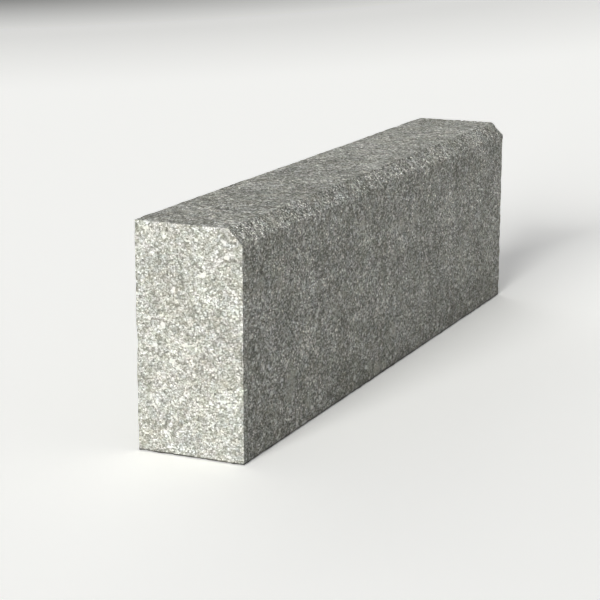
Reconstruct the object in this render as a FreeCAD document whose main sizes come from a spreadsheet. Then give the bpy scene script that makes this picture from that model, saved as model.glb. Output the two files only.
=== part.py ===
import FreeCAD, Part
import Sketcher
import os

# Granite road kerb: one block of stone, sawn square from the slab, with a single chamfer along
# the top edge of its road face and every arris eased by a stroke of the rubbing stone.
# Millimetres. X runs along the kerb, the road face looks along -Y, the bed lies on Z = 0, and
# the origin is in the middle of the bed.

doc = FreeCAD.newDocument("GraniteKerb")


# ---- driving dimensions ----------------------------------------------------------------------

sizes = doc.addObject("Spreadsheet::Sheet", "Sizes")


def add_size(row, alias, value, meaning):
    """One row of the sheet: what the size is, and its value under an alias."""
    sizes.set(f"A{row}", meaning)
    sizes.set(f"B{row}", str(value))
    sizes.setAlias(f"B{row}", alias)


add_size(1, "kerb_length", 1000, "length of one kerb, joint face to joint face")
add_size(2, "kerb_width", 150, "width of the bed, road face to back face")
add_size(3, "kerb_height", 300, "height, bed to top face")
add_size(4, "chamfer_depth", 20, "how far the chamfer goes back into the top face")
add_size(5, "chamfer_drop", 20, "how far the chamfer goes down the road face")
add_size(6, "arris_radius", 1, "rounding of every arris")
doc.recompute()


# ---- the stone -------------------------------------------------------------------------------

def origin_plane(body, role):
    """The body's own base plane with this role."""
    return next(plane for plane in body.Origin.OriginFeatures if plane.Role == role)


def add_section(body):
    """The kerb's cross-section on the body's YZ plane, where sketch x is Y and sketch y is Z."""
    sketch = body.newObject("Sketcher::SketchObject", "KerbSection")
    sketch.AttachmentSupport = [(origin_plane(body, "YZ_Plane"), "")]
    sketch.MapMode = "FlatFace"

    half_width = sizes.get("kerb_width") / 2
    height = sizes.get("kerb_height")
    foot_of_road_face = FreeCAD.Vector(-half_width, 0, 0)
    foot_of_back_face = FreeCAD.Vector(half_width, 0, 0)
    top_of_back_face = FreeCAD.Vector(half_width, height, 0)
    top_of_chamfer = FreeCAD.Vector(sizes.get("chamfer_depth") - half_width, height, 0)
    foot_of_chamfer = FreeCAD.Vector(-half_width, height - sizes.get("chamfer_drop"), 0)
    corners = [
        foot_of_road_face, foot_of_back_face, top_of_back_face, top_of_chamfer, foot_of_chamfer,
    ]

    # Each line runs from one corner to the next, so the five are numbered in this order.
    bed, back, top, chamfer, road = range(len(corners))
    for line, corner in enumerate(corners):
        next_corner = corners[(line + 1) % len(corners)]
        sketch.addGeometry(Part.LineSegment(corner, next_corner))

    start, end = 1, 2          # the sketcher's numbers for a line's two ends
    sketch_origin = (-1, 1)    # and for the sketch's own origin point
    for line in range(len(corners)):
        next_line = (line + 1) % len(corners)
        sketch.addConstraint(Sketcher.Constraint("Coincident", line, end, next_line, start))
    sketch.addConstraint(Sketcher.Constraint("Horizontal", bed))
    sketch.addConstraint(Sketcher.Constraint("Horizontal", top))
    sketch.addConstraint(Sketcher.Constraint("Vertical", back))
    sketch.addConstraint(Sketcher.Constraint("Vertical", road))
    sketch.addConstraint(Sketcher.Constraint("Symmetric", bed, start, bed, end, *sketch_origin))

    # A distance is positive from its first end to its second. The chamfer is measured up from
    # its foot, because its line is drawn downwards.
    add_distance(sketch, "DistanceX", bed, start, end, "kerb_width")
    add_distance(sketch, "DistanceY", back, start, end, "kerb_height")
    add_distance(sketch, "DistanceX", chamfer, end, start, "chamfer_depth")
    add_distance(sketch, "DistanceY", chamfer, end, start, "chamfer_drop")
    return sketch


def add_distance(sketch, direction, line, first_end, second_end, alias):
    """A distance along one sketch axis between a line's ends, bound to a size of the sheet."""
    constraint = Sketcher.Constraint(
        direction, line, first_end, line, second_end, sizes.get(alias))
    number = sketch.addConstraint(constraint)
    sketch.renameConstraint(number, alias)
    sketch.setExpression(f"Constraints.{alias}", f"Sizes.{alias}")


def add_kerb():
    """The whole stone: its section run along X for one length, and its arrises eased."""
    body = doc.addObject("PartDesign::Body", "GraniteKerb")
    body.Label = "granite_kerb"

    block = body.newObject("PartDesign::Pad", "SawnBlock")
    block.Profile = add_section(body)
    block.Midplane = True
    block.setExpression("Length", "Sizes.kerb_length")
    doc.recompute()

    arrises = body.newObject("PartDesign::Fillet", "EasedArrises")
    arrises.Base = (block, [""])
    arrises.UseAllEdges = True
    arrises.setExpression("Radius", "Sizes.arris_radius")

    body.Placement = FreeCAD.Placement(FreeCAD.Vector(0, 0, 0), FreeCAD.Rotation())
    return body


subparts = [add_kerb()]
doc.recompute()


# ---- checks, then one STEP file for each sub-part --------------------------------------------

for item in doc.Objects:
    if {"Invalid", "Error"} & set(item.State):
        raise RuntimeError(f"{item.Label} did not build: {item.State}")
for body in subparts:
    if body.Shape.isNull() or not body.Shape.isValid():
        raise RuntimeError(f"{body.Label} is not a valid shape")
    if len(body.Shape.Solids) != 1:
        raise RuntimeError(f"{body.Label} is {len(body.Shape.Solids)} solids, not one")

cubic_mm_in_litre = 1e6
os.makedirs("parts", exist_ok=True)
for body in subparts:
    body.Shape.exportStep(f"parts/{body.Label}.step")
    box = body.Shape.BoundBox
    print(f"{body.Label}: {box.XLength:.1f} x {box.YLength:.1f} x {box.ZLength:.1f} mm,",
          f"{body.Shape.Volume / cubic_mm_in_litre:.3f} litres")
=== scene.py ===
from math import radians

import bpy
from mathutils import Matrix, Vector


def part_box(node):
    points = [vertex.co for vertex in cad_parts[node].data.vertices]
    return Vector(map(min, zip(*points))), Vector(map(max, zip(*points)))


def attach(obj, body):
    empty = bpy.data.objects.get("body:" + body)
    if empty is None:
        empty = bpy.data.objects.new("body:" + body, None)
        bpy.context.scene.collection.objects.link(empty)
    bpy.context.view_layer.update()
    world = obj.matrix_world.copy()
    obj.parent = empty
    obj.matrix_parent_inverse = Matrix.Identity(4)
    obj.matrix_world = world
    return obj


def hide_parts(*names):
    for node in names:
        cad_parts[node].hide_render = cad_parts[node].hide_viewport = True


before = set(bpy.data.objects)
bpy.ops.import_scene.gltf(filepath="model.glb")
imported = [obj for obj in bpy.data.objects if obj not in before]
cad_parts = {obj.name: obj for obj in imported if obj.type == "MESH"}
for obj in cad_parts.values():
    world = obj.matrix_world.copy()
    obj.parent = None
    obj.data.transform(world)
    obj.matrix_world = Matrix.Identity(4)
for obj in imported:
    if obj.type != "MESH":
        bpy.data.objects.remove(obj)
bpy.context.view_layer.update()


# ==== The sawn block ==========================================================================
# A road kerb is one block of light grey granite, sawn square, with a chamfer taken off the top
# edge of its road face, which looks along -Y.

lowest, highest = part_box("granite_kerb")
chamfer = 0.020                 # into the top face and down the road face alike
chamfer_top_y = lowest.y + chamfer
chamfer_foot_z = highest.z - chamfer

bpy.ops.object.select_all(action="DESELECT")
bpy.ops.mesh.primitive_cube_add(
    size=1, location=(lowest + highest) / 2, scale=highest - lowest)
stone = bpy.context.object
stone.name = "kerb_stone"
stone.data.name = "kerb_stone"
bpy.ops.object.transform_apply(location=True, rotation=False, scale=True)

# Only the long edge between the top and the road face is cut back.
bpy.ops.object.mode_set(mode="EDIT")
bpy.ops.mesh.select_mode(type="EDGE")
bpy.ops.mesh.select_all(action="DESELECT")
bpy.ops.object.mode_set(mode="OBJECT")
same_place = 1e-5
for edge in stone.data.edges:
    ends = [stone.data.vertices[i].co for i in edge.vertices]
    edge.select = all(
        abs(end.y - lowest.y) < same_place and abs(end.z - highest.z) < same_place
        for end in ends)
bpy.ops.object.mode_set(mode="EDIT")
bpy.ops.mesh.bevel(offset=chamfer, offset_type="OFFSET", segments=1, affect="EDGES")

# The seven sawn faces are laid out flat for the baked finish, each in one piece.
bpy.ops.mesh.select_mode(type="FACE")
bpy.ops.mesh.select_all(action="SELECT")
bpy.ops.uv.smart_project(angle_limit=radians(30), island_margin=0.004)
stone.data.uv_layers.active.name = "OFBake"


def cut_places(start, end):
    """Places for cuts across one face: close together beside its arrises, wider between them."""
    finest, coarsest, reach = 0.0050, 0.0160, 0.022
    half = (end - start) / 2
    run = 0.0
    places = []
    while run < half:
        run += finest + (coarsest - finest) * min(run / reach, 1.0)
        places.append(run)
    places = [place * half / run for place in places]
    return [start + place for place in places] + [end - place for place in places[:-1]]


def slice_block(places, direction):
    """Cuts all the faces with planes that stand square to a direction."""
    for place in places:
        bpy.ops.mesh.select_all(action="SELECT")
        bpy.ops.mesh.bisect(plane_co=direction * place, plane_no=direction)


along = Vector((1, 0, 0))
across = Vector((0, 1, 0))
up = Vector((0, 0, 1))
slice_block(cut_places(lowest.x, highest.x), along)
slice_block(cut_places(lowest.y, chamfer_top_y), across)
slice_block([chamfer_top_y], across)
slice_block(cut_places(chamfer_top_y, highest.y), across)
slice_block(cut_places(lowest.z, chamfer_foot_z), up)
slice_block([chamfer_foot_z], up)
slice_block(cut_places(chamfer_foot_z, highest.z), up)
bpy.ops.mesh.select_all(action="SELECT")
bpy.ops.mesh.remove_doubles(threshold=same_place)
bpy.ops.object.mode_set(mode="OBJECT")

finer = stone.modifiers.new("finer", "SUBSURF")
finer.subdivision_type = "SIMPLE"
finer.levels = 2
finer.render_levels = 2
bpy.ops.object.modifier_apply(modifier=finer.name)


# ==== The rough surface and the arrises =======================================================
# The saw and the torch leave the faces finely rough, and handling nibbles the arrises. All of it
# is stone that has gone, so every step only ever sinks the surface.

chamfer_normal = (up - across).normalized()
face_planes = [
    (along, highest.x),
    (-along, -lowest.x),
    (across, highest.y),
    (-across, -lowest.y),
    (up, highest.z),
    (-up, -lowest.z),
    (chamfer_normal, chamfer_normal.dot(Vector((0, chamfer_top_y, highest.z)))),
]


def arris_group(name, reach, above, below):
    """A vertex group, fullest on the arrises between two heights, that fades out beside them."""
    group = stone.vertex_groups.new(name=name)
    for vertex in stone.data.vertices:
        if not above <= vertex.co.z <= below:
            continue
        # The face that the vertex lies on comes first, and then the one round the corner.
        (_, own), (distance, other) = sorted(
            (plane - normal.dot(vertex.co), index)
            for index, (normal, plane) in enumerate(face_planes))[:2]
        if distance < reach:
            fade = 1 - distance / reach
            soft_fade = fade * fade * (3 - 2 * fade)
            # The two blunt arrises of the chamfer lose less than the square ones.
            sharpness = 1 - face_planes[own][0].dot(face_planes[other][0])
            group.add([vertex.index], sharpness * soft_fade, "REPLACE")
    return name


def sink(name, size, depth, basis="BLENDER_ORIGINAL", detail=1, sparse=1.0, bias=1.0, group=""):
    """Sinks the surface by up to a depth, in a cloud pattern of one size."""
    pattern = bpy.data.textures.new(name, type="CLOUDS")
    pattern.noise_scale = size
    pattern.noise_depth = detail
    pattern.noise_basis = basis
    pattern.contrast = sparse
    pattern.intensity = bias
    pattern.use_clamp = True
    step = stone.modifiers.new(name, "DISPLACE")
    step.texture = pattern
    step.texture_coords = "LOCAL"
    step.direction = "NORMAL"
    step.mid_level = 0
    step.strength = -depth
    step.vertex_group = group
    bpy.ops.object.modifier_apply(modifier=name)


# The arrises at the foot wear evenly under the stone's weight, and the others in bites.
foot_band = 0.0030
foot = arris_group("foot_arris", reach=0.0028, above=lowest.z, below=foot_band)
beside = arris_group("beside_the_arris", reach=0.0055, above=foot_band, below=highest.z)
sink("arris_waver", size=0.034, depth=0.0042, sparse=2.2, bias=0.58, group=beside)
sink("arris_chips", size=0.011, depth=0.0018, sparse=4.0, bias=0.0, group=beside)
sink("foot_wear", size=0.016, depth=0.0022, sparse=1.6, group=foot)
sink("saw_waves", size=0.085, depth=0.0003)
sink("spalls", size=0.013, depth=0.0007, sparse=1.6, bias=0.70, detail=2)
sink("pits", size=0.008, depth=0.0008, sparse=3.0, bias=0.40)
sink("grains", size=0.0042, depth=0.0003, basis="VORONOI_F1", detail=0)

# A worn arris can be pushed a little sideways past the next face, so whatever stands proud of a
# sawn face is brought back to it.
for vertex in stone.data.vertices:
    for normal, plane in face_planes:
        proud = normal.dot(vertex.co) - plane
        if proud > 0:
            vertex.co -= normal * proud

bpy.ops.object.shade_smooth()


# ==== The granite =============================================================================
# Pale grey granite: cream-white feldspar in grey quartz with a little black mica, and here and
# there a large cream feldspar. Flamed or sawn, every face is matt.

granite = bpy.data.materials.new("flamed_granite")
granite.use_nodes = True
tree = granite.node_tree        # what the helpers below add their nodes to
tree.nodes.clear()


def node(kind, **settings):
    """A new node, with its own properties set."""
    made = tree.nodes.new(kind)
    for name, value in settings.items():
        setattr(made, name, value)
    return made


def put(value, socket):
    """Links a value that varies to a socket, or sets the socket to a plain one."""
    if isinstance(value, bpy.types.NodeSocket):
        tree.links.new(value, socket)
    else:
        socket.default_value = value


def fill(made, **values):
    """Sets or links a node's inputs, named in lower case with underscores."""
    sockets = {s.name.lower().replace(" ", "_"): s for s in made.inputs if s.enabled}
    for name, value in values.items():
        put(value, sockets[name])
    return made


def noise(where, size, detail=2.0, roughness=0.5):
    """Soft noise with features of a size in metres."""
    made = node("ShaderNodeTexNoise")
    return fill(made, vector=where, scale=1 / size, detail=detail, roughness=roughness)


def cells(where, size, outline="EUCLIDEAN"):
    """Grains of a size in metres, each with a colour drawn at random."""
    made = node("ShaderNodeTexVoronoi", distance=outline)
    return fill(made, vector=where, scale=1 / size)


def calc(operation, first, second=0.0):
    """A sum, product or other step of arithmetic on one or two values."""
    made = node("ShaderNodeMath", operation=operation)
    put(first, made.inputs[0])
    put(second, made.inputs[1])
    return made.outputs[0]


def spread(value, low, high, out_low=0.0, out_high=1.0):
    """A value's range from low to high, made into another range and held there."""
    made = node("ShaderNodeMapRange")
    fill(made, value=value, from_min=low, from_max=high, to_min=out_low, to_max=out_high)
    return made.outputs[0]


def blend(amount, first, second, kind="MIX"):
    """Two colours mixed by an amount."""
    made = node("ShaderNodeMix", data_type="RGBA", blend_type=kind)
    for name, value in (("Factor", amount), ("A", first), ("B", second)):
        socket = next(s for s in made.inputs if s.name == name and s.enabled)
        put((*value, 1.0) if isinstance(value, tuple) else value, socket)
    return next(s for s in made.outputs if s.enabled)


stone_place = node("ShaderNodeTexCoord").outputs["Object"]

# The grains lie a little flat, along the bed that the stone split from.
flattening = 1.22
flattened = node("ShaderNodeVectorMath", operation="MULTIPLY")
put(stone_place, flattened.inputs[0])
put((1.0, 1.0, flattening), flattened.inputs[1])
place = flattened.outputs[0]


def shaken(where, size, amount):
    """The place moved about by soft noise, so that what is drawn there has a ragged outline."""
    sway = node("ShaderNodeVectorMath", operation="SUBTRACT")
    put(noise(where, size).outputs["Color"], sway.inputs[0])
    put((0.5, 0.5, 0.5), sway.inputs[1])
    moved = node("ShaderNodeVectorMath", operation="MULTIPLY_ADD")
    put(sway.outputs[0], moved.inputs[0])
    put((amount, amount, amount), moved.inputs[1])
    put(where, moved.inputs[2])
    return moved.outputs[0]


def lots(drawn):
    """Three random numbers from 0 to 1 for each grain, the same all over the grain."""
    made = node("ShaderNodeSeparateColor")
    put(drawn.outputs["Color"], made.inputs[0])
    return made.outputs


def tone(value, mean, weight):
    """A share of the stone's light and dark: a value's difference from its mean, weighted."""
    return calc("MULTIPLY", calc("SUBTRACT", value, mean), weight)


# Grains of quartz and feldspar of two sizes, each of which draws how light it is. Finer mottle
# and slower drifts of light and dark are laid over them.
grains = cells(shaken(place, 0.0022, 0.0026), 0.0028)
grain_lots = lots(grains)
coarse_lots = lots(cells(shaken(place, 0.0045, 0.0055), 0.0062))
fine_mottle = noise(place, 0.0020, roughness=0.65).outputs[0]
drift = noise(place, 0.018).outputs[0]
slow_drift = noise(place, 0.070, detail=1.0).outputs[0]

light_and_dark = tone(grain_lots[0], 0.5, 0.95)
for share in (
    tone(grains.outputs["Distance"], 0.42, -0.35),      # each grain is lightest in its middle
    tone(coarse_lots[0], 0.5, 0.34),
    tone(fine_mottle, 0.5, 2.8),
    tone(drift, 0.5, 0.55),
    tone(slow_drift, 0.5, 0.60),
):
    light_and_dark = calc("ADD", light_and_dark, share)

# The top and the long faces are flamed. The two joint faces are left as the saw cut them, with
# less light and dark, and that finish reaches in past the relief of those faces.
sawn_skin = 0.0035
flamed_contrast = 1.32
spot = node("ShaderNodeSeparateXYZ")
put(stone_place, spot.inputs[0])
along_place, across_place, up_place = spot.outputs
flamed = calc("LESS_THAN", calc("ABSOLUTE", along_place), highest.x - sawn_skin)
light_and_dark = calc(
    "MULTIPLY", light_and_dark, spread(flamed, 0.0, 1.0, 1.0, flamed_contrast))

# The long faces are painted a little darker towards the bed: painted shade, standing in for the
# light that fails near the floor.
foot_shade_height = 0.095
deepest_foot_shade = 0.32
painted_foot_shade = calc("MULTIPLY", flamed, spread(up_place, 0.0, foot_shade_height, deepest_foot_shade, 0.0))
light_and_dark = calc("SUBTRACT", light_and_dark, painted_foot_shade)

# The chamfer is dressed after the faces, and its broken grains show sharper. It is also painted a
# little lighter all over, which is painted light.
# A point belongs to it when it lies close under its plane, measured straight down.
dressed_skin = 0.004
under_chamfer = calc(
    "SUBTRACT", chamfer_foot_z - lowest.y, calc("SUBTRACT", up_place, across_place))
on_chamfer = calc(
    "MULTIPLY",
    calc("LESS_THAN", across_place, chamfer_top_y),
    calc("GREATER_THAN", up_place, chamfer_foot_z))
on_chamfer = calc("MULTIPLY", on_chamfer, calc("LESS_THAN", under_chamfer, dressed_skin))
broken_grains = tone(noise(place, 0.0016, detail=1.0).outputs[0], 0.5, 4.2)
# The small lift added here is painted light; the broken grains are the chamfer's own.
broken_grains_and_painted_light = calc("ADD", broken_grains, 0.03)
light_and_dark = calc("ADD", light_and_dark, calc("MULTIPLY", on_chamfer, broken_grains_and_painted_light))

# Light and dark have been added up in proportion: equal steps make a grain so many times lighter
# or darker than the plain stone, which is 1.
lightness = calc("EXPONENT", light_and_dark)

# Large cream feldspars show as even patches, soft towards their edge, small white ones as
# squarish chips, and black mica as flecks. Each shows in only a few of the grains of its size.
patch_share, patch_lightness = 0.10, 1.35
white_share, white_lightness = 0.02, 1.75
mica_share, mica_loss = 0.035, 0.45
patch_cells = cells(shaken(place, 0.016, 0.022), 0.030)
patch = calc(
    "MULTIPLY",
    calc("GREATER_THAN", lots(patch_cells)[0], 1 - patch_share),
    spread(patch_cells.outputs["Distance"], 0.60, 0.15, 0.0, 0.60))
white_cells = cells(shaken(place, 0.006, 0.004), 0.0068, outline="CHEBYCHEV")
white = calc("GREATER_THAN", lots(white_cells)[0], 1 - white_share)
mica = calc("LESS_THAN", grain_lots[1], mica_share)

lightness = calc(
    "ADD",
    calc("MULTIPLY", lightness, calc("SUBTRACT", 1.0, patch)),
    calc("MULTIPLY", patch_lightness, patch))
lightness = calc("MAXIMUM", lightness, calc("MULTIPLY", white_lightness, white))
lightness = calc(
    "MULTIPLY", lightness, calc("SUBTRACT", 1.0, calc("MULTIPLY", mica_loss, mica)))

# The stone stands on the arrises of its bed, and a thin dark line is painted along the foot
# there: a painted contact shadow.
contact_shadow_reach = 0.004
contact_shadow_top, contact_shadow_full = 0.0034, 0.0020
contact_shadow_loss = 0.88
beside_foot = calc(
    "MAXIMUM",
    calc("GREATER_THAN", calc("ABSOLUTE", along_place), highest.x - contact_shadow_reach),
    calc("GREATER_THAN", calc("ABSOLUTE", across_place), highest.y - contact_shadow_reach))
painted_contact_shadow = calc(
    "MULTIPLY",
    beside_foot,
    spread(up_place, contact_shadow_top, contact_shadow_full, 0.0, contact_shadow_loss))
lightness = calc("MULTIPLY", lightness, calc("SUBTRACT", 1.0, painted_contact_shadow))

# Dark grains are faintly yellower than light ones, neighbouring grains differ a little in tint,
# and the stone drifts between a warmer and a greener grey.
yellower_grey = (0.386, 0.385, 0.322)
plain_grey = (0.386, 0.385, 0.354)
grey = blend(spread(lightness, 0.6, 1.5), yellower_grey, plain_grey)
even_share = 0.996              # of red and of blue, beside the green
red_tones = calc(
    "ADD",
    tone(coarse_lots[1], 0.5, 0.055),
    tone(noise(place, 0.040).outputs[0], 0.5, 0.07))
blue_tones = calc(
    "ADD",
    tone(coarse_lots[2], 0.5, 0.075),
    tone(noise(place, 0.055).outputs[0], 0.5, 0.10))
tint = fill(
    node("ShaderNodeCombineColor"),
    red=calc("ADD", even_share, red_tones),
    green=1.0,
    blue=calc("ADD", even_share, blue_tones))
cream = blend(patch, (1.0, 1.0, 1.0), (1.01, 1.0, 0.955))
stone_grey = blend(1.0, blend(1.0, grey, tint.outputs[0], "MULTIPLY"), cream, "MULTIPLY")
colour = fill(node("ShaderNodeVectorMath", operation="SCALE"), vector=stone_grey, scale=lightness)

# The rough skin: every grain stands a little apart, on finer and slower unevenness. Sizes are
# in metres, and the amounts are in half millimetres.
half_millimetre = 0.0005
height = calc("MULTIPLY", grains.outputs["Distance"], -1.0)
for size, amount in ((0.0018, 2.0), (0.0045, 4.2), (0.011, 7.0), (0.028, 10.0)):
    unevenness = calc("MULTIPLY", amount, noise(place, size).outputs[0])
    height = calc("ADD", height, unevenness)
bump = fill(node("ShaderNodeBump"), strength=1.0, distance=half_millimetre, height=height)

skin = fill(
    node("ShaderNodeBsdfPrincipled"),
    base_color=colour.outputs[0],
    roughness=spread(grain_lots[2], 0.0, 1.0, 0.70, 0.92),
    normal=bump.outputs[0],
    ior=1.5,
    specular_ior_level=0.35)
fill(node("ShaderNodeOutputMaterial"), surface=skin.outputs[0])

stone.data.materials.clear()
stone.data.materials.append(granite)
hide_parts("granite_kerb")
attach(stone, "root")


# ==== Floor ===================================================================================
# A plain pale studio floor, wide enough to fill the view to its far edge. It is no part of the
# kerb, which stands loose on it.

bpy.ops.mesh.primitive_circle_add(vertices=96, radius=30, fill_type="NGON", location=(0, 0, 0))
floor = bpy.context.object
floor.name = "studio_floor"
pale = bpy.data.materials.new("pale_floor")
pale.use_nodes = True
tree = pale.node_tree
tree.nodes.clear()

# The floor is painted darker towards one far corner of the room, first slowly and then faster:
# painted shade, where the light would fail.
shade_corner = (7.5, 7.0, 0.0)
from_corner = node("ShaderNodeVectorMath", operation="DISTANCE")
put(node("ShaderNodeTexCoord").outputs["Object"], from_corner.inputs[0])
put(shade_corner, from_corner.inputs[1])
distance = from_corner.outputs["Value"]
lit_share = calc(
    "ADD",
    spread(distance, 2.4, 4.7, 0.12, 0.79),
    spread(distance, 5.0, 6.8, 0.0, 0.21))

# What the camera sees is lifted to near white, and the stone is lit by the plain floor.
seen_pale = (1.30, 1.30, 1.254)
plain_pale = (0.78, 0.78, 0.79)
seen_glow = 0.04
rays = node("ShaderNodeLightPath").outputs
seen = calc("MAXIMUM", rays["Is Camera Ray"], rays["Is Glossy Ray"])
shown = fill(
    node("ShaderNodeVectorMath", operation="SCALE"), vector=seen_pale, scale=lit_share)
paint = blend(seen, plain_pale, shown.outputs[0])
diffuse = fill(node("ShaderNodeBsdfDiffuse"), color=paint)
glow_strength = calc("MULTIPLY", calc("MULTIPLY", seen, lit_share), seen_glow)
glow = fill(node("ShaderNodeEmission"), strength=glow_strength)
both = node("ShaderNodeAddShader")
put(diffuse.outputs[0], both.inputs[0])
put(glow.outputs[0], both.inputs[1])
fill(node("ShaderNodeOutputMaterial"), surface=both.outputs[0])
floor.data.materials.append(pale)


# ==== Light ===================================================================================
# A broad soft key comes in low along the kerb, onto its near end. A weaker one from behind
# shapes the far end and the back, and the room's pale walls give the rest.

def soft_sun(name, azimuth, elevation, softness, strength):
    """A soft lamp far off, at an azimuth counted from -Y towards +X, as the views are."""
    lamp = bpy.data.lights.new(name, type="SUN")
    lamp.angle = radians(softness)
    lamp.energy = strength
    holder = bpy.data.objects.new(name, lamp)
    holder.rotation_euler = (radians(90 - elevation), 0, radians(azimuth))
    bpy.context.scene.collection.objects.link(holder)


soft_sun("key", azimuth=-90, elevation=15.5, softness=26, strength=3.84)
soft_sun("back_fill", azimuth=135, elevation=8, softness=60, strength=0.9)

world = bpy.data.worlds.new("room")
bpy.context.scene.world = world
world.use_nodes = True
tree = world.node_tree
tree.nodes.clear()

# The camera sees a paler room than the one that lights the stone.
room = fill(node("ShaderNodeBackground"), color=(0.97, 0.97, 1.0, 1.0), strength=0.276)
seen_room = fill(node("ShaderNodeBackground"), color=(0.88, 0.88, 0.865, 1.0), strength=1.0)
mix = node("ShaderNodeMixShader")
put(node("ShaderNodeLightPath").outputs["Is Camera Ray"], mix.inputs[0])
put(room.outputs[0], mix.inputs[1])
put(seen_room.outputs[0], mix.inputs[2])
fill(node("ShaderNodeOutputWorld"), surface=mix.outputs[0])


# ==== Camera ==================================================================================
# At table height and about two metres off the near end, on the road side, looking a little
# down along the kerb through a long lens.

lens = bpy.data.cameras.new("camera")
lens.lens = 107.5
lens.sensor_width = 36.0
camera = bpy.data.objects.new("camera", lens)
heading = radians(-65.56)
pitch_down = radians(13.74)
tilt = radians(0.08)
camera.matrix_world = (
    Matrix.Translation((-2.3945, -1.0120, 0.7293))
    @ Matrix.Rotation(heading, 4, "Z")
    @ Matrix.Rotation(radians(90) - pitch_down, 4, "X")
    @ Matrix.Rotation(tilt, 4, "Z"))
bpy.context.scene.collection.objects.link(camera)
bpy.context.scene.camera = camera

bpy.context.scene.view_settings.view_transform = "Standard"
